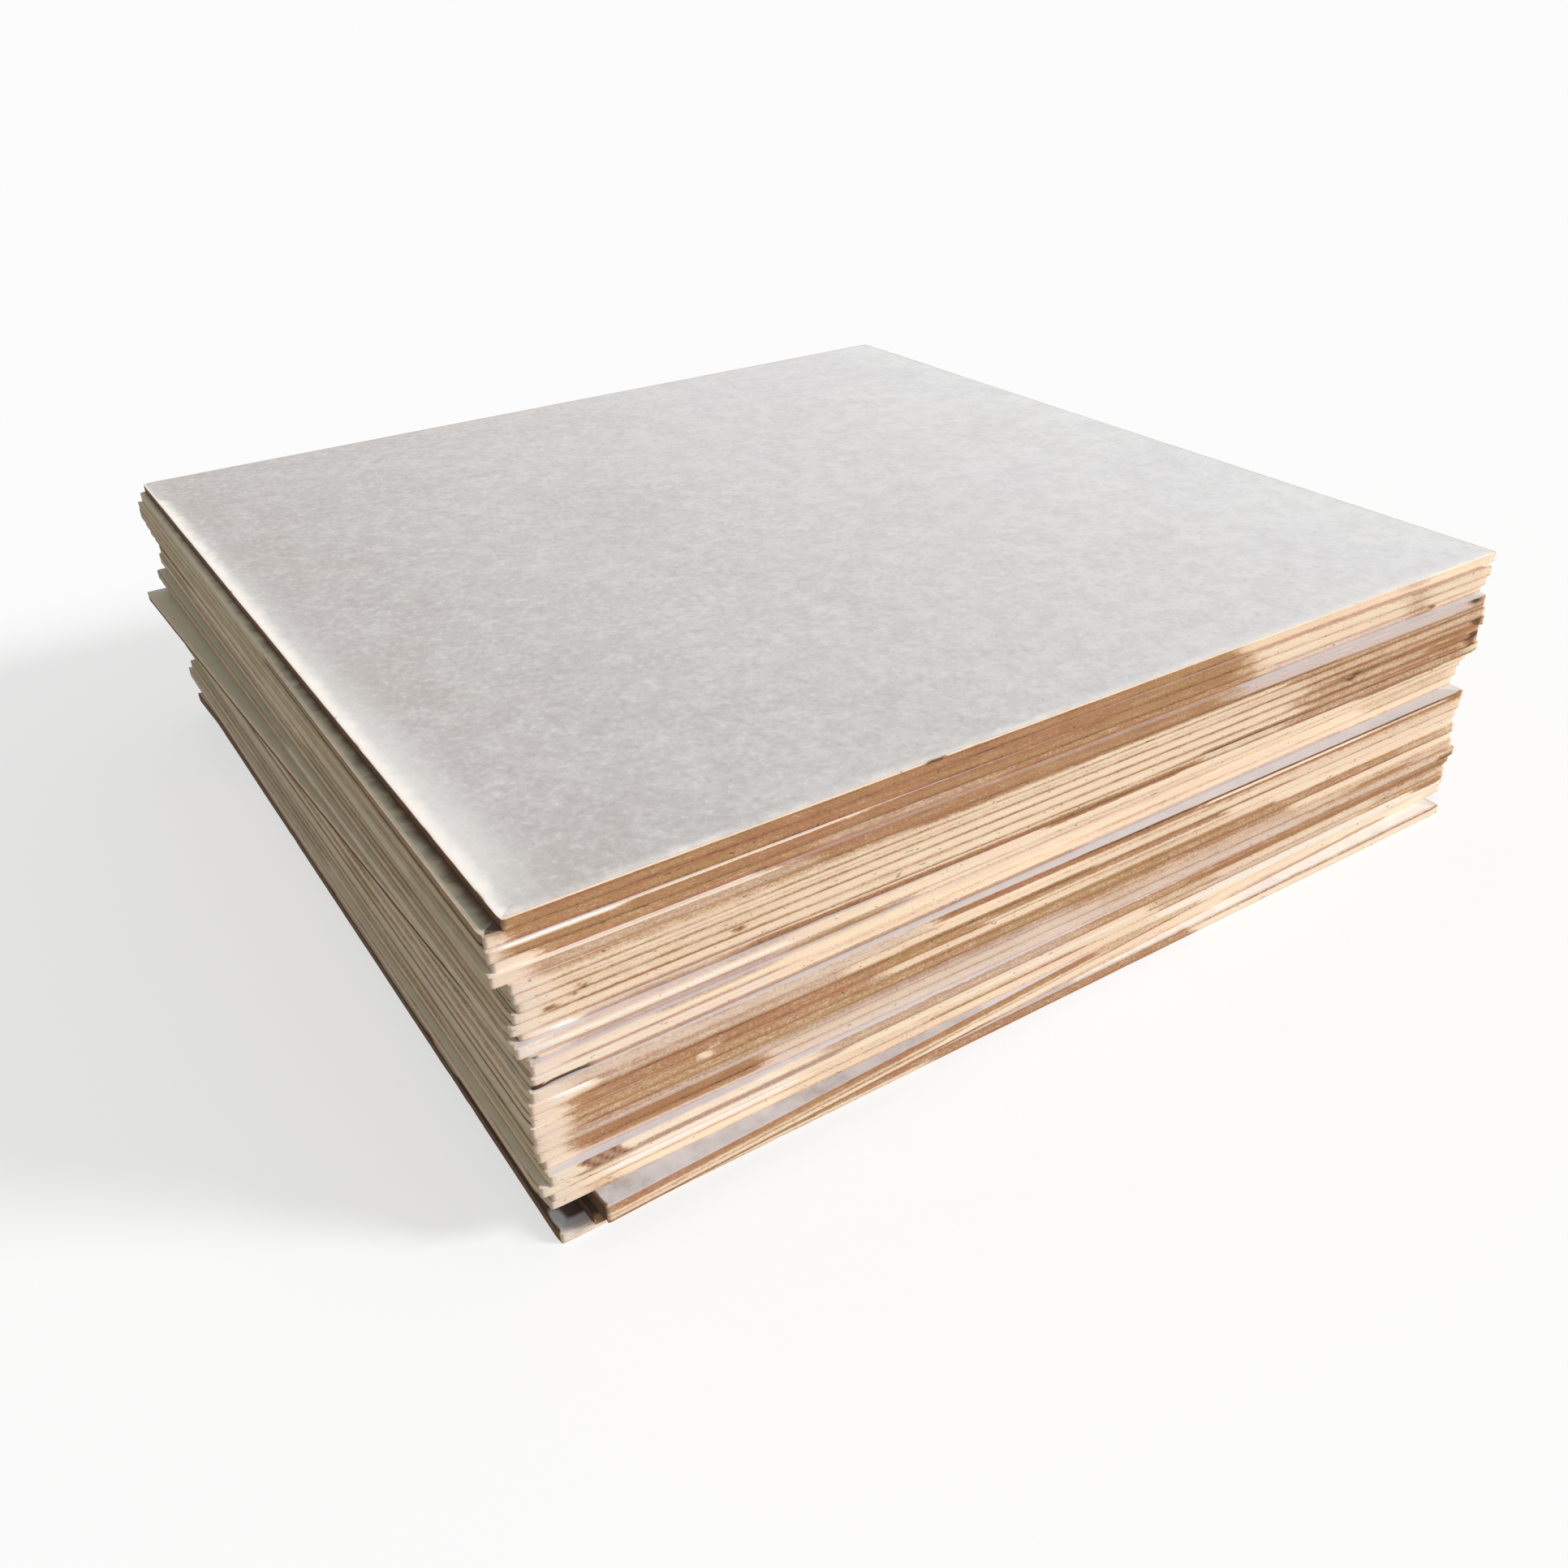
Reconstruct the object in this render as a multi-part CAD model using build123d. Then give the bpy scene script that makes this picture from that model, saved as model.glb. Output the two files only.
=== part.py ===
from build123d import *
import math
import os

# A hand-piled stack of square fiberboard sheets, bare stock for backs and panels.
# Millimetres, +Z up. The origin is the middle of the lowest sheet's underside. The lowest
# sheet's edges run along X and Y, and the front of the stack faces -Y.

# One sheet, sawn on all four sides
SHEET_WIDTH = 305.0
SHEET_DEPTH = 305.0
SHEET_THICKNESS = 2.75
ARRIS = 0.2  # the sharp sawn arris, broken by handling
SKEWED_SHEET = 18  # counted from the floor up, the one sheet that was sawn out of square
SKEW = 7.0  # how far the two back corners of that sheet lie too far to the left

# How each sheet lies, from the floor up. The three lengths are read at its front edge:
# how far its front left corner is to the right of the lowest sheet's, and how far its edge
# stands out past the lowest sheet's at its left end and at its right end.
LAY = [
    # The lowest sheet
    (0.0, 0.0, 0.0),
    # Three sheets pushed to the right and turned, which leaves a notch at the left corner
    (7.6, 1.6, -5.4),
    (9.2, 5.2, -5.6),
    (8.8, 6.3, -5.8),
    # Four sheets put down one at a time
    (-1.2, -0.2, -0.2),
    (-0.7, 0.3, -0.6),
    (-3.3, 0.8, 0.6),
    (-1.1, 1.4, 0.2),
    # Eight sheets knocked nearly flush
    (-0.8, -1.1, 0.8),
    (-2.2, -0.8, 0.4),
    (-2.6, -0.6, -0.2),
    (-2.4, -0.4, 0.0),
    (-2.9, 0.2, -0.4),
    (-2.4, -0.2, -0.4),
    (-2.2, -0.4, 0.0),
    (-1.6, -0.7, -0.2),
    # Five sheets turned back at the right, with a ledge under them there
    (-0.6, -1.4, -5.2),
    (0.0, -2.3, -5.0),
    (1.7, -3.8, -5.2),
    (-1.0, -1.8, -4.6),
    (-3.7, 0.6, -0.8),
    # Seven sheets turned the other way, out at the right
    (-2.0, -1.0, 0.8),
    (-4.2, 0.0, 1.1),
    (-3.1, 0.1, 0.9),
    (-2.2, 0.5, 0.7),
    (-2.8, 0.9, 0.6),
    (-3.2, 1.4, 0.6),
    (-6.4, 0.7, 2.5),
    # Three sheets pushed to the left
    (-5.2, -0.2, -0.3),
    (-6.1, 0.3, 1.2),
    (-6.0, -0.7, 1.5),
    # The top sheet
    (-2.0, -0.4, -0.4),
]


def sawn_sheet(skew):
    """One sheet with its lower front left corner at the origin and every arris broken."""
    front = [(0, 0), (SHEET_WIDTH, 0)]
    back = [(SHEET_WIDTH - skew, SHEET_DEPTH), (-skew, SHEET_DEPTH)]
    outline = make_face(Polyline(*front, *back, close=True))
    blank = extrude(outline, SHEET_THICKNESS, dir=(0, 0, 1))
    return chamfer(blank.edges(), ARRIS)


def resting_place(level, corner_right, left_out, right_out):
    """Where a sheet's lower front left corner lies, and how the sheet is turned there."""
    turn = math.degrees(math.asin((left_out - right_out) / SHEET_WIDTH))
    corner_x = -SHEET_WIDTH / 2 + corner_right
    corner_y = -SHEET_DEPTH / 2 - left_out
    return Pos(corner_x, corner_y, level * SHEET_THICKNESS) * Rot(0, 0, turn)


os.makedirs("parts", exist_ok=True)
square_sheet = sawn_sheet(0.0)
skewed_sheet = sawn_sheet(SKEW)
for level, lay in enumerate(LAY):
    number = level + 1
    sheet = skewed_sheet if number == SKEWED_SHEET else square_sheet
    laid_sheet = resting_place(level, *lay) * sheet
    export_step(laid_sheet, f"parts/sheet_{number:02d}.step")
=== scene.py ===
import math

import bpy
import numpy as np
from mathutils import Matrix, Vector


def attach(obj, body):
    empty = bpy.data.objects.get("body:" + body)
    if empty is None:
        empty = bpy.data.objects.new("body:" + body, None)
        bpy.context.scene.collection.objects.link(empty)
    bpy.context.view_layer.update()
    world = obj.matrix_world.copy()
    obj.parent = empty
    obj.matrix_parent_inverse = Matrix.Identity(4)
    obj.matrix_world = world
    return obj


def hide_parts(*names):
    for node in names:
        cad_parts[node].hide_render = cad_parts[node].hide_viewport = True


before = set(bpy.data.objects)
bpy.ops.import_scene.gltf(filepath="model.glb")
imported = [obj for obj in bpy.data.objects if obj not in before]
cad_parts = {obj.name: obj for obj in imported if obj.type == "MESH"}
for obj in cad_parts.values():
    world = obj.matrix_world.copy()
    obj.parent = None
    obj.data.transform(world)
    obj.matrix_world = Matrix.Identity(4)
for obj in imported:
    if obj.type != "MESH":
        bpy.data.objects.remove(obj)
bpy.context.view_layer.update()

# The lowest sheet: a square of thin pressed fiberboard, sawn on all four sides, with a grey face
# on both sides and a cream to brown fibre edge. It lies flat on the floor and carries the pile.
MM = 0.001
FACE_GREY = (197, 192, 188)
FACE_PALE = (235, 235, 235)
FACE_LILAC = (205, 198, 206)
FACE_FIBRE = (168, 162, 158)
FACE_RUBBED = (240, 237, 233)
FACE_ASHEN = (188, 180, 186)
EDGE_PEACH = (249, 221, 194)
EDGE_STRAW = (250, 229, 198)
EDGE_BROWN = (175, 126, 92)
EDGE_GOLDEN = (178, 137, 94)
# The burnt colour also paints shade, and the bleached one the highlight lines of lit arrises.
EDGE_BURNT_AND_SHADE = (84, 60, 43)
EDGE_BLEACHED_AND_HIGHLIGHT = (255, 249, 241)
EDGE_ASHEN = (212, 195, 190)
# Dust colours, which on the left and back sides also paint the grey olive tint of shade.
DUST_AND_SHADE_TINT = (213, 204, 173)
OLIVE_DUST_AND_SHADE_TINT = (203, 198, 167)
FIBRE_TURNS = (15, 62, 108, 155)  # the ways in degrees that single fibres lie in the face
PALER = 0.0033  # how much paler the face gets with each mm to the right
RUBBED = 0.72  # how pale the rubbed left side of the face is
RELIEF = 0.2 * MM
RELIEF_STRENGTH = 0.5
ROUGHNESS = 0.72
SPECULAR = 0.14


def paint(colour):
    """A colour written as three numbers up to 255, as the renderer wants it."""
    parts = [part / 255 for part in colour]
    linear = [part / 12.92 if part < 0.04045 else ((part + 0.055) / 1.055) ** 2.4 for part in parts]
    return (*linear, 1.0)


class Strand:
    """One socket of a finish. Arithmetic with numbers or other strands adds Math nodes."""

    def __init__(self, tree, socket=None):
        self.tree = tree
        self.socket = socket

    def add(self, kind, settings=None, sockets=None, output=0):
        """A new node of the finish, and the strand that comes out of it."""
        node = self.tree.nodes.new("ShaderNode" + kind)
        for name, value in (settings or {}).items():
            setattr(node, name, value)
        for name, value in (sockets or {}).items():
            if isinstance(value, Strand):
                self.tree.links.new(value.socket, node.inputs[name])
            else:
                node.inputs[name].default_value = value
        return Strand(self.tree, node.outputs[output] if node.outputs else None)

    def maths(self, operation, first, second):
        """A Math node on two strands or numbers."""
        return self.add("Math", {"operation": operation}, {0: first, 1: second})

    def __add__(self, other):
        return self.maths("ADD", self, other)

    def __sub__(self, other):
        return self.maths("SUBTRACT", self, other)

    def __rsub__(self, other):
        return self.maths("SUBTRACT", other, self)

    def __mul__(self, other):
        return self.maths("MULTIPLY", self, other)

    __radd__ = __add__
    __rmul__ = __mul__

    def fade(self, low, high):
        """0 below low, 1 above high, smooth between; the other way round where low is above high."""
        limits = {"Value": self, "From Min": low, "From Max": high}
        return self.add("MapRange", {"interpolation_type": "SMOOTHSTEP"}, limits)

    def tint(self, under, over):
        """The colour under, with the colour over it where this strand is 1."""
        return self.add("Mix", {"data_type": "RGBA"}, {0: self, 6: under, 7: over}, output=2)

    def stretched(self, across, deep, high):
        """A place on the board, drawn out by these factors for a pattern."""
        return self.add("VectorMath", {"operation": "MULTIPLY"}, {0: self, 1: (across, deep, high)})

    def turned(self, degrees):
        """A place on the board, turned about the upright."""
        turn = {"Vector": self, "Angle": math.radians(degrees)}
        return self.add("VectorRotate", {"rotation_type": "Z_AXIS"}, turn)

    def noise(self, detail=2.0, roughness=0.5):
        """Fibre noise about 0.5, with one feature to each unit of this place."""
        wanted = {"Vector": self, "Scale": 1.0, "Detail": detail, "Roughness": roughness}
        return self.add("TexNoise", {}, wanted)


def pressed_face(place, mottle):
    """The colour and relief of a grey face: paler to the right, finely mottled, with single fibres that
    lie every way, and rubbed pale along its left side."""
    across = place.add("SeparateXYZ", {}, {0: place}, "X")
    deep = place.add("SeparateXYZ", {}, {0: place}, "Y")
    clouds = place.stretched(0.02, 0.02, 0.02).noise(3.0, 0.5)
    nap = place.stretched(0.5, 0.5, 0.5).noise(4.0, 0.7)
    fibres = None
    for turn in FIBRE_TURNS:
        lying = place.turned(turn).stretched(0.4, 2.6, 1.0).noise(2.0, 0.6)
        fibres = lying if fibres is None else fibres.maths("MAXIMUM", fibres, lying)
    spread = across * PALER + (clouds - 0.5) * 0.5
    face = spread.tint(paint(FACE_GREY), paint(FACE_PALE))
    face = (clouds.fade(0.45, 0.7) * 0.25).tint(face, paint(FACE_LILAC))
    face = (mottle.fade(0.6, 0.36) * 0.12).tint(face, paint(FACE_FIBRE))
    face = (mottle.fade(0.5, 0.72) * 0.16).tint(face, paint(FACE_RUBBED))
    face = (nap.fade(0.52, 0.3) * (0.38 - spread * 0.26)).tint(face, paint(FACE_FIBRE))
    face = (nap.fade(0.5, 0.72) * 0.36).tint(face, paint(FACE_RUBBED))
    face = (fibres.fade(0.64, 0.8) * (0.2 - spread * 0.1)).tint(face, paint(FACE_FIBRE))
    from_left = across + (mottle - 0.5) * 9.0 + deep * 0.035
    rubbed = from_left.fade(18.0, 3.0) * (deep.fade(-12.0, 28.0) * RUBBED)
    return rubbed.tint(face, paint(FACE_RUBBED)), fibres * 0.4 + nap * 0.4


def sawn_edge(place, mottle, tone):
    """The colour and relief of a sawn edge: layered fibres that run along it, from bleached to burnt as
    the tone says, with small dark pits. Burnt tones also paint shade, and bleached ones highlights."""
    hue = place.stretched(0.03, 0.03, 0.5).noise(2.0, 0.5)
    layers = place.stretched(0.1, 0.1, 3.2).noise(3.0, 0.6)
    grain = place.stretched(1.2, 1.2, 2.0).noise(3.0, 0.7)
    pits = place.stretched(0.5, 0.5, 1.2).noise(1.0, 0.5).fade(0.7, 0.78)
    stir = (layers - 0.5) * 0.8 + (grain - 0.5) * 1.5 + (mottle - 0.5) * 0.5
    tone = tone + stir * (tone.fade(-0.1, 0.8) * 0.7 + 0.3)
    cream = hue.fade(0.42, 0.62).tint(paint(EDGE_PEACH), paint(EDGE_STRAW))
    brown = hue.fade(0.6, 0.4).tint(paint(EDGE_BROWN), paint(EDGE_GOLDEN))
    side = tone.fade(-0.15, 1.0).tint(cream, brown)
    side = tone.fade(-0.2, -0.9).tint(side, paint(EDGE_BLEACHED_AND_HIGHLIGHT))
    side = (tone.fade(0.95, 2.0) * 0.95).tint(side, paint(EDGE_BURNT_AND_SHADE))
    return (pits * 0.5).tint(side, paint(EDGE_BURNT_AND_SHADE)), layers * 0.8 + grain - pits


def fiberboard_finish():
    """One finish for faces and edges. Each point of a sheet says how much of the edge shows there, its
    tone, which also paints shade and highlights, how ashen it is, how much dust and painted shade tint
    it has, and its place in the patterns in mm."""
    finish = bpy.data.materials.new("fiberboard")
    finish.use_nodes = True
    tree = finish.node_tree
    board = tree.nodes["Principled BSDF"]
    start = Strand(tree)

    def painted(name, output="Fac"):
        return start.add("Attribute", {"attribute_name": name}, {}, output)

    place = painted("place", "Vector")
    edge = painted("edge")
    tone = painted("tone")
    ash = painted("ash")
    dusty_and_shaded = painted("dust_and_shade")
    mottle = place.stretched(0.16, 0.16, 0.16).noise(3.0, 0.6)
    dust_and_shade = mottle.fade(0.35, 0.65).tint(paint(DUST_AND_SHADE_TINT), paint(OLIVE_DUST_AND_SHADE_TINT))

    face, face_relief = pressed_face(place, mottle)
    face = dusty_and_shaded.tint(ash.tint(face, paint(FACE_ASHEN)), dust_and_shade)
    # Dark tones paint soil on a face, and painted shade in the notch and on ledges in shade.
    soiled_and_shaded = tone + (mottle - 0.5) * 0.8
    face = (soiled_and_shaded.fade(0.9, 1.9) * 0.92).tint(face, paint(EDGE_BURNT_AND_SHADE))
    face = soiled_and_shaded.fade(-0.2, -0.9).tint(face, paint(EDGE_BLEACHED_AND_HIGHLIGHT))

    side, side_relief = sawn_edge(place, mottle, tone)
    side = dusty_and_shaded.tint(ash.tint(side, paint(EDGE_ASHEN)), dust_and_shade)

    colour = edge.fade(0.25, 0.75).tint(face, side)
    relief = face_relief * (1.0 - edge) + side_relief * edge
    bump = {"Height": relief, "Strength": RELIEF_STRENGTH, "Distance": RELIEF}
    tree.links.new(colour.socket, board.inputs["Base Color"])
    tree.links.new(start.add("Bump", {}, bump).socket, board.inputs["Normal"])
    board.inputs["Roughness"].default_value = ROUGHNESS
    board.inputs["Specular IOR Level"].default_value = SPECULAR
    return finish


FIBERBOARD = fiberboard_finish()

# The points of a sheet, on rings from its underside round the edge to the top
TOP_SHEET = len(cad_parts)
SEED = 7000
FRONT, RIGHT, BACK, LEFT = range(4)
FLAT = 0.01  # points within this of the lowest one are the underside's
HAIR = 0.001  # a length that doesn't show
STEPS = 208  # points along one side
ROUND = 4 * STEPS  # points of a ring
CROWDED = 0.3  # how much closer together they are near the ends of a side
COARSER = 4  # each ring towards the middle of a face has this many times fewer points
RING_INSETS = (6.0, 14.0, 40.0)  # of the rings on a face, from the outline
RIM = 0.9  # width of the rim of a face, over which the look of the edge ends
BODY_ROWS = (0.0, 0.1, 0.3, 0.5, 0.7, 0.9, 1.0)  # heights of the rings between the arrises
FIRST_EDGE_RING = 2
RIM_RING, INNER_RING = -2, -1  # the two outer rings of the top face

# The wear of an edge in mm
SAW_WAVES = ((0.05, 40.0), (0.04, 3.0))  # depth and length
TORN_FIBRES = (0.07, 1.6)  # depth and length
ARRIS_TORN = 0.4  # how much of that there is beside an arris
BRUISE_DEPTH = (0.05, 0.4)  # least and most, at a corner
BRUISE_LENGTH = (1.0, 3.0)
BROKEN_ARRIS = 0.08
ARRIS_WAVES = 14.0
ARRIS_SHARE = 0.3  # of the thickness, at most
ARRIS_BEND = 0.3  # where the middle of a broken arris lies, as a share of its depth
ARRIS_LOOK = 0.9  # how much of the look of the edge there is on an arris
CHIPS = (1, 5)  # at least one on each side, and fewer than five
CHIP_DEPTH = (0.08, 0.3)
CHIP_LENGTH = (1.5, 7.0)
CHIP_END = 2.0
CRUSH_WAVES = 11.0
CRUSH_LEAST = 0.6
CRUSH_END = 4.0  # length over which a crushed stretch starts and ends

# The stains of an edge: tones, shares of the thickness and lengths in mm
DRIFT = (0.25, 45.0)  # slow change of tone along an edge, and its length
WHOLE_SIDE = (-50.0, 400.0)
SIDE_TONE = (-0.2, 0.7)  # of a right, back or left edge
PATCHES = (1, 4)  # at least one on such an edge, and fewer than four
PATCH_FIRST = -20.0
PATCH_LENGTH = (25.0, 160.0)
PATCH_TONE = (-0.2, 0.9)
PATCH_END = 14.0
STAIN_SLANT = 3.0  # how far a stain leans over the thickness of a sheet
STAIN_RAGGED = 0.4
RAGGED_WAVES = 2.0
LAYER_END = 0.12  # share of the thickness over which a stain starts and ends
PALE_TONE = -0.5
PALE_ASH = 0.4
PALE_SHARE = 0.75
PALE_END = 8.0
PALE_LIMIT = 1.1  # darker stains than this stay dark
SEAM_LEAST = 0.35
SEAM_WAVES = ((0.5, 24.0), (0.3, 4.0))
SEAM_LIMIT = -0.7  # paler stains than this stay pale
LEFT_SEAM = (0.6, 2.6)  # how many times as strong the seams of a left edge are
LOW_SEAM = (0.255, 0.085)  # heights where the brown of the lower arris ends and where it is full
HIGH_SEAM = (0.84, 1.0)
HIGH_SEAM_SHARE = 0.6
CRUSH_SEAM = (0.425, 0.175)

# The dust of each side, from the front to the left, and what takes it off. On the left and back
# sides it also paints the grey olive tint of shade.
EDGE_DUST_AND_SHADE = np.array([0.0, 0.3, 0.5, 0.8])[:, None]
LEDGE_DUST_AND_SHADE = np.array([0.0, 0.2, 0.4, 0.85])[:, None]
DUST_AND_SHADE_SHARE = (0.6, 1.1)
BURNT_AND_SHADE = 1.5  # any stain darker than this, painted shade included, hides more of the dust
BURNT_AND_SHADE_CLEARS = 0.95
STAIN_CLEARS = 0.65
SEAM_CLEARS = 0.9
SEAM_CLEARS_LEAST = 0.3
SEAM_CLEARS_MOST = 0.85
LEDGE_ASH = 0.5
LEDGE_END = 5.0

# The map of a sheet's finish, in shares of the map's side
LOT = np.array([337.0, 353.0, 11.0])  # in mm from one sheet's place in the patterns to the next one's
MAP_MARGIN = 0.004
TOP_MAP = 0.765
UNDERSIDE_MAP = 0.21
UNDERSIDE_CORNER = (0.78, MAP_MARGIN)
STRIP_LENGTH = 0.992
STRIP_HEIGHT = 0.05
STRIP_FOOT = 0.782
STRIP_PITCH = 0.0545


def wander(draw, at, feature):
    """A smooth line that wanders between 0 and 1, with waves about as long as feature."""
    knots = draw.random(int(at.max() / feature) + 3)
    place = at / feature
    low = place.astype(int)
    part = place - low
    part = part * part * (3 - 2 * part)
    return knots[low] * (1 - part) + knots[low + 1] * part


def span(at, first, last, soft):
    """1 from first to last, falling to 0 over the length soft at both ends."""
    rise = np.clip((at - first) / soft + 0.5, 0, 1)
    fall = np.clip((last - at) / soft + 0.5, 0, 1)
    both = rise * fall
    return both * both * (3 - 2 * both)


def ramp(at, start, end):
    """0 before start and 1 after end, or the other way round where end comes first."""
    return np.clip((at - start) / (end - start), 0, 1)


def shift(values, wanted, share):
    """Moves these values by a share of the way to what is wanted."""
    values += (wanted - values) * share


class Sheet:
    """One sheet in mm along its own sides, from its front left corner, in the place of the CAD sheet of
    that number. Its points lie on rings, from the underside round the sawn edge to the top."""

    def __init__(self, number):
        self.number = number
        self.name = f"sheet_{number:02d}"
        self.draw = np.random.default_rng(SEED + number)
        corners = np.array([vertex.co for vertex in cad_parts[self.name].data.vertices]) / MM
        self.floor = corners[:, 2].min()
        self.thick = corners[:, 2].max() - self.floor
        foot = corners[corners[:, 2] < self.floor + FLAT][:, :2]
        front_left = foot[np.argmin(foot[:, 0] + foot[:, 1])]
        front_right = foot[np.argmax(foot[:, 0] - foot[:, 1])]
        back_left = foot[np.argmax(foot[:, 1] - foot[:, 0])]
        across = (front_right - front_left) / np.linalg.norm(front_right - front_left)
        deep = (back_left - front_left) / np.linalg.norm(back_left - front_left)
        self.sides = np.stack([across, deep])
        laid = corners[:, :2] @ np.linalg.inv(self.sides)
        self.corner = laid.min(0)
        self.width, self.depth = np.ptp(laid, 0)
        even = np.arange(STEPS) / STEPS
        self.share = even - CROWDED * np.sin(2 * np.pi * even) / (2 * np.pi)
        wide = self.share * self.width
        long = self.share * self.depth
        self.at = np.stack([wide, long, wide, long])
        self.from_front = self.depth - self.at[LEFT]
        self.points = []
        self.faces = []

    def waves(self, *kinds):
        """Lines round the four sides that wander up to the sum of these heights, each with a length."""
        lines = []
        for line in self.at:
            lines.append(sum(height * wander(self.draw, line, length) for height, length in kinds))
        return np.stack(lines)

    def broken_arris(self):
        """How far an arris is broken all round, with a few chips in each side."""
        broken = BROKEN_ARRIS + BROKEN_ARRIS * self.waves((1.0, ARRIS_WAVES)) ** 2
        for side in range(4):
            for _ in range(self.draw.integers(*CHIPS)):
                first = self.draw.uniform(0, self.width)
                length = self.draw.uniform(*CHIP_LENGTH)
                chip = self.draw.uniform(*CHIP_DEPTH)
                broken[side] += chip * span(self.at[side], first, first + length, CHIP_END)
        return broken

    def wear(self, gaps):
        """Sets the rings: how far each lies in from the outline, how high, and how much of the look of
        the edge it has."""
        sawn = self.waves(*SAW_WAVES)
        from_end = np.minimum(self.at, self.at.max(1, keepdims=True) + HAIR - self.at)
        bruise = self.draw.uniform(*BRUISE_DEPTH, (4, 1))
        reach = self.draw.uniform(*BRUISE_LENGTH, (4, 1))
        sawn += bruise * np.clip(1 - from_end / reach, 0, 1) ** 2
        below = self.broken_arris()
        above = self.broken_arris()
        for first, last, back, _ in gaps:
            uneven = CRUSH_LEAST + (1 - CRUSH_LEAST) * wander(self.draw, self.at[FRONT], CRUSH_WAVES)
            below[FRONT] += back * span(self.at[FRONT], first, last, CRUSH_END) * uneven

        bottom = np.zeros_like(self.at)
        top = np.full_like(self.at, self.thick)
        inner = np.full_like(self.at, RING_INSETS[0])
        low_edge = np.minimum(below, ARRIS_SHARE * self.thick)
        high_edge = self.thick - np.minimum(above, ARRIS_SHARE * self.thick)
        self.rings = [
            (inner, bottom, 0.0),
            (sawn + below + RIM, bottom, 0.0),
            (sawn + below, bottom, ARRIS_LOOK),
            (sawn + ARRIS_BEND * below, ARRIS_BEND * low_edge, 1.0),
        ]
        for row in BODY_ROWS:
            torn = self.waves(TORN_FIBRES) * (ARRIS_TORN if row in (0.0, 1.0) else 1.0)
            self.rings.append((sawn + torn, low_edge + row * (high_edge - low_edge), 1.0))
        self.rings += [
            (sawn + ARRIS_BEND * above, self.thick - ARRIS_BEND * (self.thick - high_edge), 1.0),
            (sawn + above, top, ARRIS_LOOK),
            (sawn + above + RIM, top, 0.0),
            (inner, top, 0.0),
        ]
        shape = (len(self.rings), 4, STEPS)
        self.edges = np.stack([np.full((4, STEPS), on_edge) for _, _, on_edge in self.rings])
        self.tones = np.zeros(shape)
        self.ashes = np.zeros(shape)
        self.dusts_and_shades = np.zeros(shape)

    def stain_edge_and_painted_light(self, tone, stains_and_painted_light, left, seam, gaps, pale_end):
        """Colours the sawn edge: the front as chosen, the other sides at random, with the chosen stains
        over that on the left. Some chosen stretches are painted shade and painted highlights."""
        draw = self.draw
        drift = self.waves(DRIFT) - 0.5 * DRIFT[0]
        lines = seam * (SEAM_LEAST + self.waves(*SEAM_WAVES))
        patches = []
        for side in (RIGHT, BACK, LEFT):
            patches.append((side, *WHOLE_SIDE, draw.uniform(*SIDE_TONE)))
            for _ in range(draw.integers(*PATCHES)):
                first = draw.uniform(PATCH_FIRST, self.width)
                last = first + draw.uniform(*PATCH_LENGTH)
                patches.append((side, first, last, draw.uniform(*PATCH_TONE)))
        dusty_and_shaded = EDGE_DUST_AND_SHADE * draw.uniform(*DUST_AND_SHADE_SHARE, (4, 1))
        lines[LEFT] *= draw.uniform(*LEFT_SEAM)
        front = self.at[FRONT]
        for (_, height, on_edge), tones, ashes, dusts_and_shades in zip(self.rings, self.tones, self.ashes, self.dusts_and_shades):
            if on_edge == 0.0:
                continue
            level = height / self.thick
            tones[:] = tone + drift
            dusts_and_shades[:] = dusty_and_shaded
            for side, first, last, wanted in patches:
                shift(tones[side], wanted, span(self.at[side], first, last, PATCH_END))
            slanted = front + STAIN_SLANT * (level[FRONT] - 0.5)
            ragged = STAIN_RAGGED * (wander(draw, front, RAGGED_WAVES) - 0.5)
            for first, last, wanted, low, high, ash, soft in stains_and_painted_light:
                here = span(slanted + ragged * soft, first, last, soft)
                here = here * span(level[FRONT], low, high, LAYER_END)
                shift(tones[FRONT], wanted, here)
                shift(ashes[FRONT], ash, here)
            pale = PALE_SHARE * span(slanted, WHOLE_SIDE[0], pale_end, PALE_END)
            pale = pale * (tones[FRONT] < PALE_LIMIT)
            shift(tones[FRONT], PALE_TONE, pale)
            shift(ashes[FRONT], PALE_ASH, pale)
            for first, last, wanted, low, high, _, soft in left:
                here = span(self.from_front, first, last, soft) * span(level[LEFT], low, high, LAYER_END)
                shift(tones[LEFT], wanted, here)
                dusts_and_shades[LEFT] *= 1 - here * (BURNT_AND_SHADE_CLEARS if wanted > BURNT_AND_SHADE else STAIN_CLEARS)
            seams = ramp(level, *LOW_SEAM) + HIGH_SEAM_SHARE * ramp(level, *HIGH_SEAM)
            tones += lines * seams * (tones > SEAM_LIMIT)
            least = SEAM_CLEARS_LEAST * np.clip(seams, 0, 1)
            dusts_and_shades *= 1 - np.clip(SEAM_CLEARS * lines * seams, least, SEAM_CLEARS_MOST)
            for first, last, _, wanted in gaps:
                here = span(front, first, last, CRUSH_END) * ramp(level[FRONT], *CRUSH_SEAM)
                shift(tones[FRONT], wanted, here)

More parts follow.
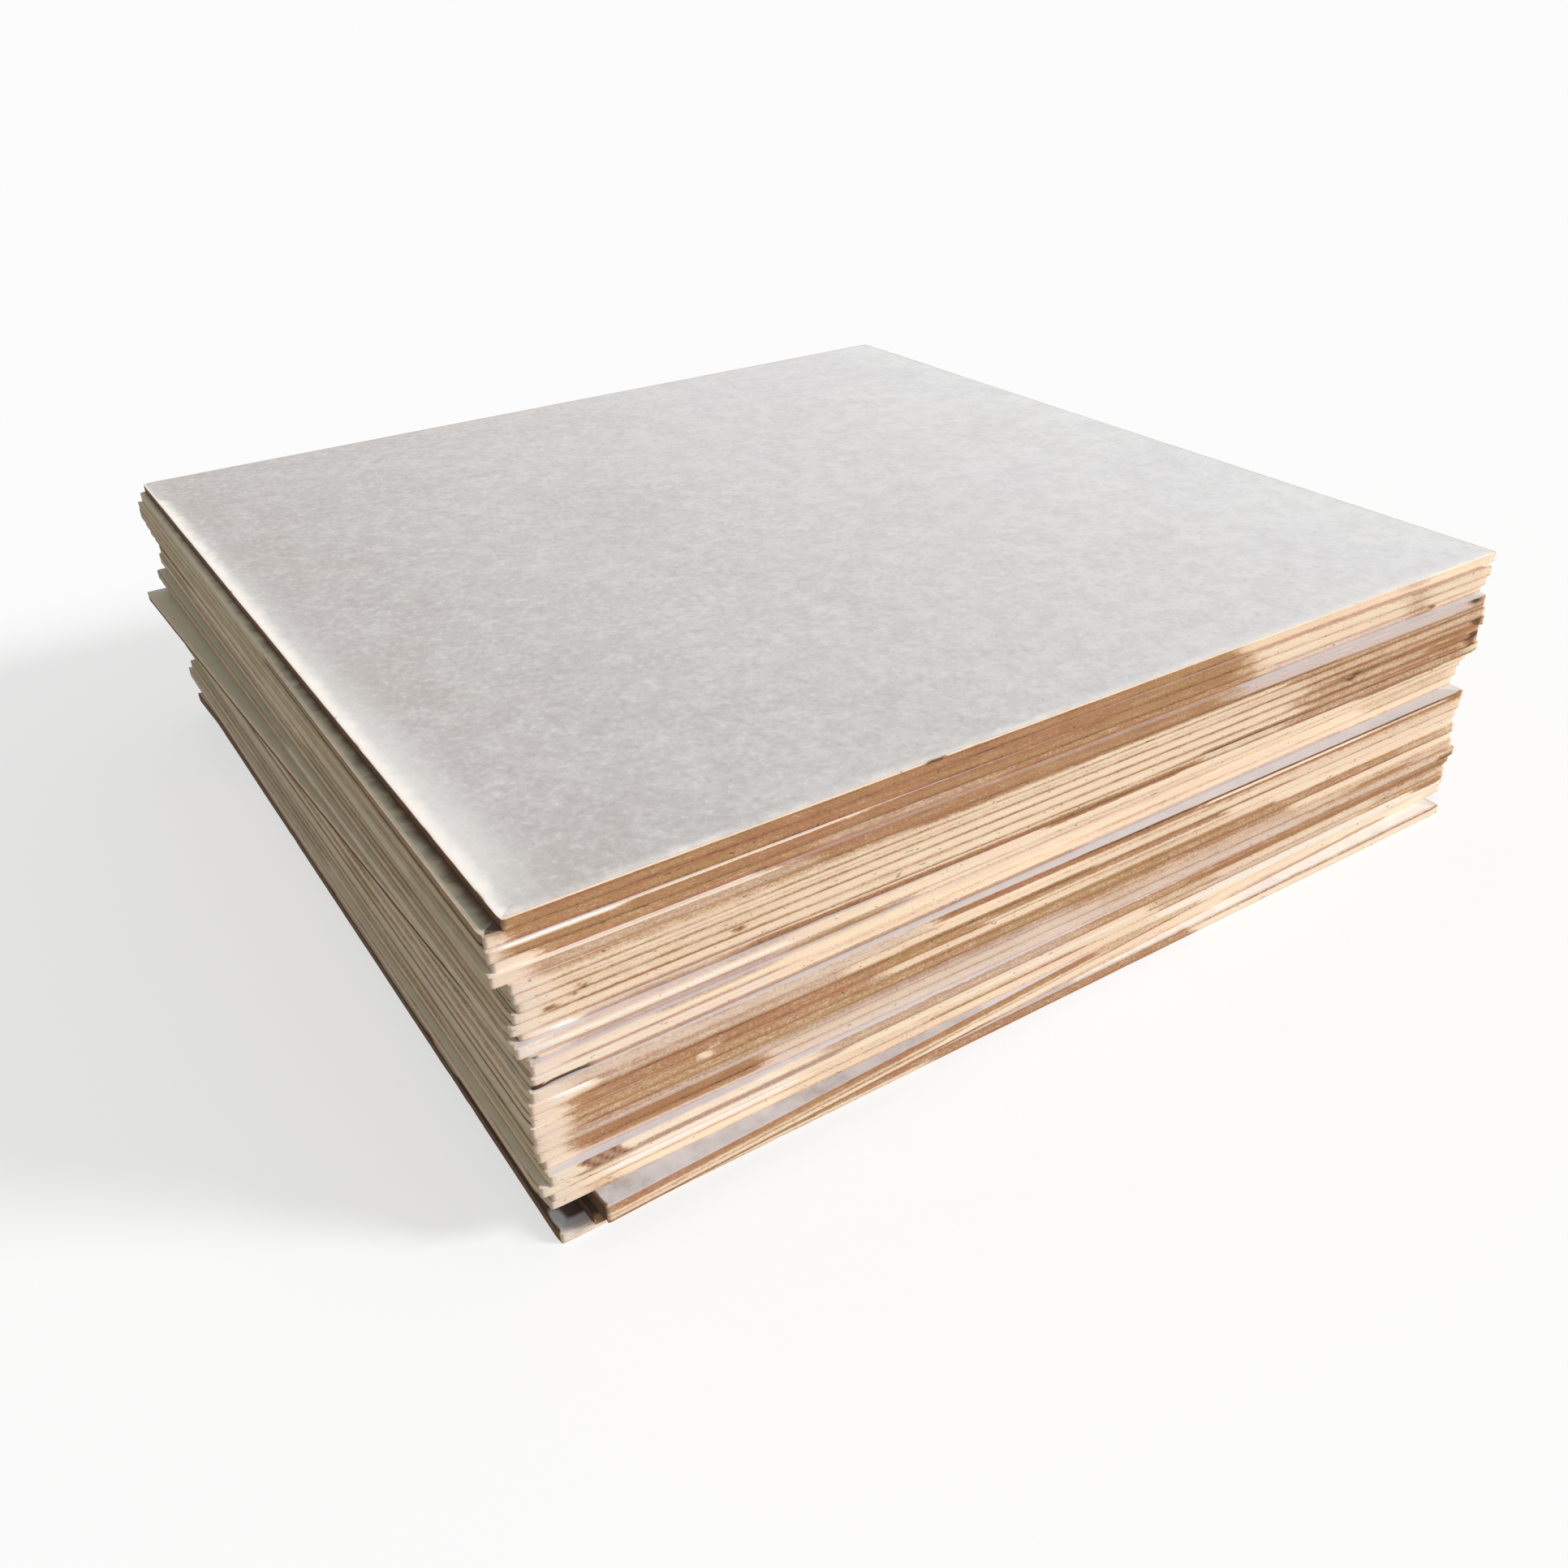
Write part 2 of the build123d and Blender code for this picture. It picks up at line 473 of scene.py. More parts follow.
    def soil_face_and_painted_shade(self, ledge):
        """Colours the rim of the upper face, which shows as a ledge where the next sheet lies further in,
        with soil, dust, and painted shade where it lies in shade.
        """
        if self.number < TOP_SHEET:
            self.dusts_and_shades[RIM_RING:] = LEDGE_DUST_AND_SHADE
            self.ashes[RIM_RING:, FRONT] = LEDGE_ASH
        for side, first, last, rim, inner, dust_and_shade, creep in ledge:
            here = span(self.from_front if side == LEFT else self.at[side], first, last, LEDGE_END)
            self.tones[RIM_RING, side] += rim * here
            self.tones[INNER_RING, side] += inner * here
            self.dusts_and_shades[RIM_RING:, side] *= 1 - (1 - dust_and_shade) * here
            self.edges[RIM_RING, side] += creep * here

    def ring(self, inset, every=1):
        """A square ring of points, inset in mm from the outline, anticlockwise from the front left."""
        part = self.share[::every]
        gap = np.broadcast_to(inset, (4, len(part)))
        wide = self.width - 2 * gap
        long = self.depth - 2 * gap
        front = np.stack([gap[FRONT] + wide[FRONT] * part, gap[FRONT]], 1)
        right = np.stack([self.width - gap[RIGHT], gap[RIGHT] + long[RIGHT] * part], 1)
        back = np.stack([self.width - gap[BACK] - wide[BACK] * part, self.depth - gap[BACK]], 1)
        left = np.stack([gap[LEFT], self.depth - gap[LEFT] - long[LEFT] * part], 1)
        return np.concatenate([front, right, back, left])

    def add_points(self, flat, height):
        """Adds points at this height, and gives their numbers."""
        first = sum(len(group) for group in self.points)
        self.points.append(np.column_stack([flat, np.broadcast_to(height, len(flat))]))
        return first + np.arange(len(flat))

    def knit(self):
        """Makes the faces: strips between the rings, and then the underside and the top."""
        numbers = [self.add_points(self.ring(inset), height.ravel()) for inset, height, _ in self.rings]
        for here, there in zip(numbers, numbers[1:]):
            strip = np.column_stack([here, np.roll(here, -1), np.roll(there, -1), there])
            self.faces += strip.tolist()
        self.close_face(numbers[0], 0.0, True)
        self.close_face(numbers[-1], self.thick, False)

    def close_face(self, numbers, height, flip):
        """Closes a face from its outer ring inwards, with coarser rings and a grid in the middle."""
        fine = numbers.tolist()
        every = 1
        for inset in RING_INSETS[1:]:
            every *= COARSER
            coarse = self.add_points(self.ring(inset, every), height).tolist()
            for index, corner in enumerate(coarse):
                outer = [fine[(COARSER * index + step) % len(fine)] for step in range(COARSER + 1)]
                after = coarse[(index + 1) % len(coarse)]
                fan = [(outer[0], outer[1], corner), (outer[1], outer[2], corner), (corner, outer[2], after)]
                fan += [(outer[2], outer[3], after), (outer[3], outer[4], after)]
                self.faces += [face[::-1] for face in fan] if flip else fan
            fine = coarse
        side = STEPS // every
        part = self.share[every::every]
        inset = RING_INSETS[-1]
        columns = inset + (self.width - 2 * inset) * part
        rows = inset + (self.depth - 2 * inset) * part
        middle = np.stack(np.meshgrid(columns, rows), -1).reshape(-1, 2)
        grid = np.zeros((side + 1, side + 1), int)
        grid[0, :side] = fine[:side]
        grid[:side, side] = fine[side:2 * side]
        grid[side, 1:] = fine[2 * side:3 * side][::-1]
        grid[1:, 0] = fine[3 * side:][::-1]
        grid[1:side, 1:side] = self.add_points(middle, height).reshape(side - 1, side - 1)
        squares = np.stack([grid[:-1, :-1], grid[:-1, 1:], grid[1:, 1:], grid[1:, :-1]], -1).reshape(-1, 4)
        self.faces += (squares[:, ::-1] if flip else squares).tolist()

    def lay_map(self, mesh, local):
        """Maps the sheet flat: the top, the underside beside it, and the four edges as long strips."""
        loops = np.zeros(len(mesh.loops), np.int32)
        mesh.loops.foreach_get("vertex_index", loops)
        spread = np.empty((len(loops), 2), np.float32)
        top = local[loops, 2] > self.thick / 2
        part = local[loops, :2] / (self.width, self.depth)
        spread[top] = MAP_MARGIN + TOP_MAP * part[top]
        spread[~top] = UNDERSIDE_CORNER + UNDERSIDE_MAP * part[~top]
        rows = len(self.rings) - 1 - 2 * FIRST_EDGE_RING
        strips = (rows, 4, STEPS)
        first_loop = FIRST_EDGE_RING * ROUND * 4
        edges = slice(first_loop, first_loop + rows * ROUND * 4)
        begin = np.broadcast_to(self.share, strips)
        end = np.broadcast_to(np.append(self.share[1:], 1.0), strips)
        low = np.broadcast_to((np.arange(rows) / rows)[:, None, None], strips)
        foot = np.broadcast_to((STRIP_FOOT + STRIP_PITCH * np.arange(4))[:, None], strips)
        along = np.stack([begin, end, end, begin], -1)
        upward = np.stack([low, low, low + 1 / rows, low + 1 / rows], -1)
        spread[edges, 0] = (MAP_MARGIN + STRIP_LENGTH * along).ravel()
        spread[edges, 1] = (foot[..., None] + STRIP_HEIGHT * upward).ravel()
        mesh.uv_layers.new(name="OFBake").data.foreach_set("uv", spread.ravel())

    def piece(self):
        """The finished sheet as an object, in metres where the CAD sheet lies."""
        self.knit()
        local = np.concatenate(self.points)
        flat = (self.corner + local[:, :2]) @ self.sides
        placed = np.column_stack([flat, self.floor + local[:, 2]]) * MM
        mesh = bpy.data.meshes.new(f"fiberboard_{self.name}")
        mesh.from_pydata(placed.tolist(), [], self.faces)
        mesh.polygons.foreach_set("use_smooth", np.ones(len(mesh.polygons), bool))
        self.lay_map(mesh, local)
        looks = {"edge": self.edges, "tone": self.tones, "ash": self.ashes, "dust_and_shade": self.dusts_and_shades}
        for label, values in looks.items():
            full = np.zeros(len(local), np.float32)
            full[:values.size] = values.ravel()
            mesh.attributes.new(label, "FLOAT", "POINT").data.foreach_set("value", full)
        lot = LOT * (self.number if self.number < TOP_SHEET else 0)
        place = mesh.attributes.new("place", "FLOAT_VECTOR", "POINT")
        place.data.foreach_set("vector", (local + lot).astype(np.float32).ravel())
        mesh.materials.append(FIBERBOARD)
        piece = bpy.data.objects.new(f"fiberboard_{self.name}", mesh)
        bpy.context.scene.collection.objects.link(piece)
        return piece


def stain_and_painted_light(first, last, tone, low=-0.5, high=1.5, ash=0.0, soft=9.0):
    """A stretch of sawn edge, in mm from the front left corner. The tone runs from -1, bleached, over
    0, cream, and 1, brown, to 2, burnt. Low and high are the share of the thickness it takes up. Some
    stretches paint shade with the dark tones and highlights with the pale ones."""
    return first, last, tone, low, high, ash, soft


def crushed(first, last, back, tone):
    """A stretch where the lower front arris is crushed back by up to this many mm, and its tone."""
    return first, last, back, tone


def soil_and_painted_shade(side, first, last, rim, inner, dust_and_shade=1.0, creep=0.0):
    """A stretch of face beside an edge, in mm along that side. Rim and inner are the tones added beside
    the edge and 6 mm in, which paint soil and rubbing, and shade in some places, the dust share is how
    much of the dust and its painted shade tint is left, and creep is how far the look of the sawn edge
    creeps over the face."""
    return side, first, last, rim, inner, dust_and_shade, creep


def lay_sheet(number, tone=0.0, stains_and_painted_light=(), left=(), seam=0.6, gaps=(), ledge=(), pale_end=7.0):
    """Lays one sheet of the pile. Tone is that of its front edge, and stains are what differs there,
    painted shade and highlights included. Left holds the same for its left edge, and ledge the soil and
    painted shade on its top face. Seam is how brown its arrises are, gaps are where the lower front one
    is crushed, and pale_end is how far its front edge is pale from the left."""
    sheet = Sheet(number)
    sheet.wear(gaps)
    sheet.stain_edge_and_painted_light(tone, stains_and_painted_light, left, seam, gaps, pale_end)
    sheet.soil_face_and_painted_shade(ledge)
    piece = sheet.piece()
    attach(piece, "root")
    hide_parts(sheet.name)


lay_sheet(1, 0.1, [
    stain_and_painted_light(0, 10, -0.9),
    stain_and_painted_light(10, 100, 0.75, 0.4),
    stain_and_painted_light(100, 196, 0.75),
    stain_and_painted_light(196, 320, -0.4),
    stain_and_painted_light(196, 320, 0.5, 0.8),
# The left edge is darkened all along as painted shade, and the first three soils paint the shade of the
# notch on the face, darker inwards from the front and left rims.
], left=[stain_and_painted_light(-20, 330, 1.7)], ledge=[
    soil_and_painted_shade(FRONT, -5, 12, -0.4, 3.4, 0.0),
    soil_and_painted_shade(FRONT, 150, 320, -0.7, -0.8),
    soil_and_painted_shade(LEFT, -20, 60, 0.0, 3.4, 0.0),
    soil_and_painted_shade(LEFT, 6, 60, 1.8, 0.0),
])

# Three sheets pushed to the right and turned, so that their left corner leaves a dark notch and
# their grey face shows in front of the sheets above. The dark of the notch is painted shade: on their
# left ends near the front, on the front end of the lowest, and on the face of the lowest and the
# uppermost beside that corner.
# The left ends near the front, darkened as painted shade of the notch.
NOTCH_PAINTED_SHADE = stain_and_painted_light(-20, 16, 2.2)
DARK_CORNER = stain_and_painted_light(252, 330, 1.7, soft=20)
lay_sheet(2, 0.1, [
    # Its front end in the notch, darkened as painted shade.
    stain_and_painted_light(0, 4, 1.3, soft=3),
    stain_and_painted_light(3, 80, 0.8, 0.45),
    stain_and_painted_light(195, 320, -0.3),
    stain_and_painted_light(205, 275, 0.95, 0.1, 0.5, ash=0.45, soft=20),
], left=[NOTCH_PAINTED_SHADE, DARK_CORNER], ledge=[
    # Its face in the notch, darkened as painted shade.
    soil_and_painted_shade(FRONT, -5, 12, 2.2, 2.4, 0.0),
    soil_and_painted_shade(LEFT, -20, 24, 2.2, 2.4, 0.0),
], pale_end=-20)
lay_sheet(3, 0.15, [
    stain_and_painted_light(90, 320, -0.15),
    stain_and_painted_light(0, 95, 0.7, 0.6),
    stain_and_painted_light(0, 110, 0.85, -0.5, 0.25),
], left=[NOTCH_PAINTED_SHADE, DARK_CORNER], pale_end=-20)
lay_sheet(4, 0.1, [
    stain_and_painted_light(0, 150, 0.85, 0.4),
    stain_and_painted_light(150, 190, 0.4),
    stain_and_painted_light(190, 245, -0.15),
    stain_and_painted_light(240, 300, 0.45, 0.5),
], left=[NOTCH_PAINTED_SHADE, DARK_CORNER], ledge=[
    soil_and_painted_shade(FRONT, -5, 110, 1.2, 1.2),
    # The face corner in the notch, darkened as painted shade.
    soil_and_painted_shade(LEFT, -20, 12, 1.3, 1.3, 0.0),
], pale_end=-20)

# Four sheets of the same board put down one at a time, each a little out of line with the next. The
# uppermost has a dark scuff near its left corner.
lay_sheet(5, 0.0, [
    stain_and_painted_light(9, 15, 0.35, soft=5),
    stain_and_painted_light(60, 110, 0.15),
    stain_and_painted_light(180, 320, -0.6),
    stain_and_painted_light(290, 310, 0.8, 0.6, soft=8),
], left=[DARK_CORNER], seam=0.4)
lay_sheet(6, 0.05, [
    stain_and_painted_light(12, 65, -0.7, 0.3),
    stain_and_painted_light(100, 150, 0.5, -0.5, 0.35),
    stain_and_painted_light(135, 177, -0.55, 0.6, soft=8),
    stain_and_painted_light(178, 196, 0.35),
    stain_and_painted_light(196, 265, 0.3, ash=0.3),
    stain_and_painted_light(265, 320, 0.5),
], left=[DARK_CORNER])
lay_sheet(7, 0.0, [
    stain_and_painted_light(66, 140, -0.25),
    stain_and_painted_light(110, 177, -0.6, -0.5, 0.45, soft=8),
    stain_and_painted_light(177, 205, 0.4, soft=5),
    stain_and_painted_light(205, 270, 0.15),
    stain_and_painted_light(270, 320, 0.4),
    stain_and_painted_light(10, 80, 0.75, 0.55, ash=0.35),
    stain_and_painted_light(20, 66, -0.65, -0.5, 0.5),
    stain_and_painted_light(9, 19, 1.2, 0.7, soft=3),
])
lay_sheet(8, -0.1, [
    stain_and_painted_light(18, 62, -0.45),
    stain_and_painted_light(20, 72, 0.65, -0.5, 0.35, ash=0.3),
    stain_and_painted_light(70, 150, 0.55, ash=0.2),
    stain_and_painted_light(150, 200, 0.65),
    stain_and_painted_light(200, 320, 0.75),
    stain_and_painted_light(190, 303, 1.3, 0.2, 0.5),
    stain_and_painted_light(8, 18.5, 0.6, ash=0.3, soft=3),
    stain_and_painted_light(9, 11, 1.6, soft=2),
    stain_and_painted_light(12.5, 14, 1.8, soft=2),
    stain_and_painted_light(15.5, 17.5, 1.5, soft=2),
])

# Eight sheets of the same board, knocked nearly flush and held only by the weight above them. Their
# front edges are brown and streaky, most of all at the left end.
lay_sheet(9, 0.25, [
    stain_and_painted_light(5, 62, 0.95, 0.4, soft=18),
    stain_and_painted_light(5, 60, 0.3, -0.5, 0.4, ash=0.6),
    stain_and_painted_light(55, 150, 0.15, ash=0.5),
    stain_and_painted_light(150, 235, 0.25, ash=0.45),
    stain_and_painted_light(235, 295, 0.35, ash=0.15),
    # Its very right end, darkened as painted shade.
    stain_and_painted_light(297, 310, 1.2, -0.5, 0.5, soft=4),
])
lay_sheet(10, 0.35, [
    stain_and_painted_light(5, 64, 1.05, soft=24),
    stain_and_painted_light(56, 110, 0.2, ash=0.25),
    stain_and_painted_light(110, 160, 0.2, ash=0.35),
    stain_and_painted_light(160, 235, 0.4, ash=0.2),
    stain_and_painted_light(258, 284, 1.0, 0.25, 0.65, soft=14),
])
lay_sheet(11, 0.4, [
    stain_and_painted_light(8, 150, 0.7, ash=0.2),
    stain_and_painted_light(8, 150, 0.45, -0.5, 0.4, ash=0.45),
    stain_and_painted_light(150, 232, 0.75, 0.3),
    stain_and_painted_light(150, 232, 0.2, -0.5, 0.3, ash=0.2),
    stain_and_painted_light(235, 320, -0.1),
])
lay_sheet(12, 0.4, [
    stain_and_painted_light(8, 100, 0.65),
    stain_and_painted_light(100, 280, 0.72),
    stain_and_painted_light(280, 300, 0.5),
])
lay_sheet(13, 0.1, [
    stain_and_painted_light(8, 90, 0.7),
    stain_and_painted_light(90, 225, 0.75, -0.5, 0.45),
    stain_and_painted_light(225, 320, -0.15),
    stain_and_painted_light(40.5, 44, -0.05, 0.45, soft=2),
# The pale line along the top of its left edge is a painted highlight.
], left=[stain_and_painted_light(-20, 240, -0.5, 0.93)])
lay_sheet(14, 0.1, [
    stain_and_painted_light(8, 120, 0.8),
    stain_and_painted_light(120, 205, 0.8, 0.4),
    stain_and_painted_light(120, 205, 0.05, -0.5, 0.4),
    stain_and_painted_light(205, 320, -0.15),
    stain_and_painted_light(40.5, 44, 0.0, -0.5, 0.3, soft=2),
# The dark line low on its left edge is painted shadow.
], left=[stain_and_painted_light(-20, 210, 1.7, -0.5, 0.25)])
lay_sheet(15, 0.1, [
    stain_and_painted_light(16, 78, 0.5, ash=0.2),
    stain_and_painted_light(10, 95, 0.95, -0.5, 0.3),
    stain_and_painted_light(95, 155, 0.95, -0.5, 0.4),
    stain_and_painted_light(155, 230, 0.75, -0.5, 0.3),
    stain_and_painted_light(5, 16, -0.9, 0.66, soft=4),
])
lay_sheet(16, 0.0, [
    stain_and_painted_light(0, 100, 0.3, ash=0.3),
    stain_and_painted_light(105, 195, 0.95, 0.35),
    stain_and_painted_light(105, 150, -0.5, -0.5, 0.35),
    stain_and_painted_light(195, 298, 1.25, 0.3, 0.65),
    stain_and_painted_light(195, 262, -0.8, 0.6, 0.84),
    stain_and_painted_light(262, 300, 0.1, 0.76),
    stain_and_painted_light(150, 310, 1.6, 0.9, soft=40),
    # Its very right end, darkened as painted shade.
    stain_and_painted_light(298, 310, 1.2, 0.2, soft=6),
])

# Five sheets turned back at the right, with a grey ledge of the sheet below them there. The lowest
# gapes a little at its left corner, and the next was sawn out of square and stands out at the back.
lay_sheet(17, 0.0, [
    stain_and_painted_light(0, 60, -0.4, ash=0.2),
    stain_and_painted_light(5, 150, 0.85, -0.5, 0.35, ash=0.25),
    stain_and_painted_light(150, 250, 0.4, -0.5, 0.35, ash=0.6),
    # This and the tone of the crushed arris paint the shade in the gap at the left corner.
    stain_and_painted_light(-10, 12, 2.1, -0.5, 0.42, soft=4),
], gaps=[crushed(3, 12, 1.0, 2.0)])
lay_sheet(18, -0.1, [
    stain_and_painted_light(0, 34, -0.4, ash=0.2),
    stain_and_painted_light(0, 60, 0.4, -0.5, 0.3, ash=0.2),
    stain_and_painted_light(30, 60, 0.35, 0.8, ash=0.3),
    stain_and_painted_light(260, 300, 0.25),
# The dark line low on its left edge is painted shadow under its overhang.
], left=[stain_and_painted_light(20, 330, 2.0, -0.5, 0.45)])
lay_sheet(19, 0.0, [
    stain_and_painted_light(0, 66, -0.5, 0.6),
    stain_and_painted_light(3, 95, 0.6, -0.5, 0.55, ash=0.5),
    stain_and_painted_light(60, 90, 0.7, -0.5, 0.45),
])
lay_sheet(20, 0.0, [
    stain_and_painted_light(0, 66, -0.5, ash=0.15),
    stain_and_painted_light(0, 58, 0.4, -0.5, 0.35, ash=0.5),
    stain_and_painted_light(255, 292, 0.95, 0.5),
])
lay_sheet(21, -0.1, [
    stain_and_painted_light(0, 66, 0.1, ash=0.4),
    stain_and_painted_light(5, 66, -0.6, 0.1, 0.7),
    stain_and_painted_light(140, 186, 0.9, 0.8),
    stain_and_painted_light(255, 292, 0.9, 0.4),
    stain_and_painted_light(0, 8, -0.8, soft=5),
])

# Seven sheets turned the other way and out at the right. They are clean and cream but for their
# right end, the crushed arris of the lowest and the brown uppermost one. The last few mm of several
# right ends are darkened as painted shade.
lay_sheet(22, 0.1, [
    stain_and_painted_light(0, 45, 0.15, ash=0.4),
    stain_and_painted_light(220, 300, 0.6),
    stain_and_painted_light(20, 60, 0.6, -0.5, 0.5, ash=0.2, soft=20),
    stain_and_painted_light(50, 186, 1.15, -0.5, 0.55, soft=18),
    stain_and_painted_light(2, 12, -0.9, -0.5, 0.5, soft=4),
], gaps=[crushed(52, 186, 0.35, 1.35)], seam=0.9)
lay_sheet(23, 0.0, [
    stain_and_painted_light(20, 62, 0.5, -0.5, 0.3, ash=0.2),
    stain_and_painted_light(190, 262, 0.8, -0.5, 0.4),
    stain_and_painted_light(232, 300, 0.6),
    stain_and_painted_light(262, 298, 1.2, 0.35, 0.6),
    # Its very right end, darkened as painted shade.
    stain_and_painted_light(300, 310, 1.5, soft=4),
], seam=1.1)
lay_sheet(24, 0.0, [
    stain_and_painted_light(222, 320, 0.5),
    stain_and_painted_light(9, 60, 0.18, soft=16),
    stain_and_painted_light(280, 298, 1.25, 0.3, 0.7),
    stain_and_painted_light(6, 9, 1.3, 0.2, 0.65, soft=2.5),
    stain_and_painted_light(13.5, 14.5, 1.3, 0.7, soft=1.5),
    stain_and_painted_light(51, 53, 1.7, 0.45, 0.75, soft=2),
    stain_and_painted_light(247, 249.5, 1.7, 0.7, soft=2),
    # Its very right end, darkened as painted shade.
    stain_and_painted_light(300, 310, 1.9, -0.5, 0.6, soft=3),
], seam=1.1)
lay_sheet(25, 0.05, [
    stain_and_painted_light(228, 320, 0.5),
    stain_and_painted_light(9, 60, 0.2, soft=16),
    stain_and_painted_light(238, 298, 1.3, 0.15, 0.5),
    stain_and_painted_light(13, 14.2, 1.3, -0.5, 0.5, soft=1.5),
    stain_and_painted_light(246, 249, 1.7, 0.1, 0.5, soft=2),
    # Its very right end, darkened as painted shade.
    stain_and_painted_light(300, 310, 1.8, 0.2, soft=3),
], seam=1.1)
lay_sheet(26, 0.05, [
    stain_and_painted_light(228, 320, 0.42),
    stain_and_painted_light(10, 228, 0.35, 0.42, 0.62),
], seam=1.1)
lay_sheet(27, 0.0, [
    stain_and_painted_light(0, 100, 0.45, 0.5),
    stain_and_painted_light(100, 320, 0.9, 0.5),
    stain_and_painted_light(218, 320, 0.55),
], seam=1.0)
lay_sheet(28, 0.7, [
    stain_and_painted_light(10, 75, 0.55, ash=0.15),
    stain_and_painted_light(75, 240, 0.85),
    stain_and_painted_light(240, 296, 0.6, ash=0.2),
    stain_and_painted_light(205, 300, 0.15, 0.3, ash=0.9, soft=24),
    stain_and_painted_light(6, 34, -0.6, 0.93, soft=8),
    stain_and_painted_light(30, 68, -0.3, 0.93, soft=12),
    # Its very right end, darkened as painted shade.
    stain_and_painted_light(298, 303, 1.9, 0.5, soft=3),
], ledge=[
    soil_and_painted_shade(FRONT, -5, 60, -0.7, -0.7),
    soil_and_painted_shade(FRONT, 60, 205, 0.75, 0.75, creep=1.0),
])

# Three sheets of the same board pushed to the left as one lift, with nothing to hold them but the
# top sheet. They are brown for two thirds of their front edge.
lay_sheet(29, 0.1, [
    stain_and_painted_light(10, 75, 0.85),
    stain_and_painted_light(75, 120, 0.6, ash=0.15),
    stain_and_painted_light(120, 210, 0.75, soft=15),
    stain_and_painted_light(212, 270, 0.25, ash=0.4),
    stain_and_painted_light(271, 280, 0.5, soft=6),
    stain_and_painted_light(212, 245, -0.4, 0.93),
    stain_and_painted_light(280.5, 282.5, 1.8, 0.2, 0.65, soft=2),
])
lay_sheet(30, 0.0, [
    stain_and_painted_light(-3, 207, 0.9, soft=18),
    stain_and_painted_light(268, 278, 0.4, soft=9),
    stain_and_painted_light(3, 30, -1.2, 0.86, soft=6),
    stain_and_painted_light(24, 90, -0.6, 0.97, soft=16),
], pale_end=2.5)
lay_sheet(31, 0.05, [
    stain_and_painted_light(2, 206, 0.92, soft=13),
    stain_and_painted_light(268, 277, 0.4, soft=9),
], left=[
    stain_and_painted_light(-20, 150, 1.45),
    # A painted shadow line along the lower left arris near the front.
    stain_and_painted_light(-20, 110, 1.9, -0.5, 0.25),
    # A painted highlight line along the upper left arris.
    stain_and_painted_light(-20, 330, -0.35, 0.93),
], ledge=[
    # The ledge beside the top sheet and its front corner, darkened as painted shade of the top sheet.
    soil_and_painted_shade(LEFT, -20, 330, 1.15, 2.4),
    soil_and_painted_shade(FRONT, -5, 9, 2.0, 2.0),
    soil_and_painted_shade(FRONT, 60, 330, 0.95, 0.95, creep=1.0),
], pale_end=2.5)

# The top sheet, laid loose on the pile, whose whole grey face shows. Handling has rubbed its face
# pale along the left side, and its front edge is brown like those of the sheets under it.
lay_sheet(TOP_SHEET, 0.0, [
    stain_and_painted_light(-1, 199, 0.92, soft=7),
    stain_and_painted_light(3, 150, 1.25, 0.72, 0.95),
    stain_and_painted_light(264, 276, 0.4, 0.4, ash=0.2),
    stain_and_painted_light(276, 320, -0.15),
    stain_and_painted_light(-20, 330, -1.0, 0.985),
    stain_and_painted_light(101, 106, 1.6, 0.8, soft=3),
], left=[
    # The left edge is darkened all along as painted shade, with a painted highlight line along its upper
    # arris.
    stain_and_painted_light(-20, 330, 1.75),
    stain_and_painted_light(-20, 330, -1.1, 0.95),
], ledge=[
    soil_and_painted_shade(FRONT, -20, 330, -0.5, 0.0),
    soil_and_painted_shade(LEFT, -20, 285, -0.85, 0.0),
], pale_end=-3)

# The studio: a plain pale floor and backdrop in one, a broad soft lamp from the front right and
# an even dome of light. The background is white and the floor keeps the pile's soft shadow.
FLOOR_REACH = 30.0
FLOOR_DROP = 0.02 * MM
FLOOR_SEEN = (252, 252, 252)
FLOOR_BOUNCE = (160, 158, 154)
WHITE = (1.0, 1.0, 1.0, 1.0)
SHADOW_KEPT = 0.4
DOME = 0.475
LAMP = 3.24
LAMP_TURN = 50.0
LAMP_HEIGHT = 28.0
LAMP_SOFTNESS = 14.0

floor_mesh = bpy.data.meshes.new("floor")
square = [(-1, -1), (1, -1), (1, 1), (-1, 1)]
floor_corners = [(x * FLOOR_REACH, y * FLOOR_REACH, -FLOOR_DROP) for x, y in square]
floor_mesh.from_pydata(floor_corners, [], [(0, 1, 2, 3)])
floor = bpy.data.objects.new("floor", floor_mesh)
bpy.context.scene.collection.objects.link(floor)

pale_floor = bpy.data.materials.new("pale_floor")
pale_floor.use_nodes = True
pale_floor.node_tree.nodes.clear()
studio = Strand(pale_floor.node_tree)


def seen_rays(strand):
    """1 for the rays that show a background: the camera's, and those by way of a mirror or glass."""
    camera_ray = strand.add("LightPath", {}, {}, "Is Camera Ray")
    glossy_ray = strand.add("LightPath", {}, {}, "Is Glossy Ray")
    glass_ray = strand.add("LightPath", {}, {}, "Is Transmission Ray")
    return strand.maths("MAXIMUM", strand.maths("MAXIMUM", camera_ray, glossy_ray), glass_ray)


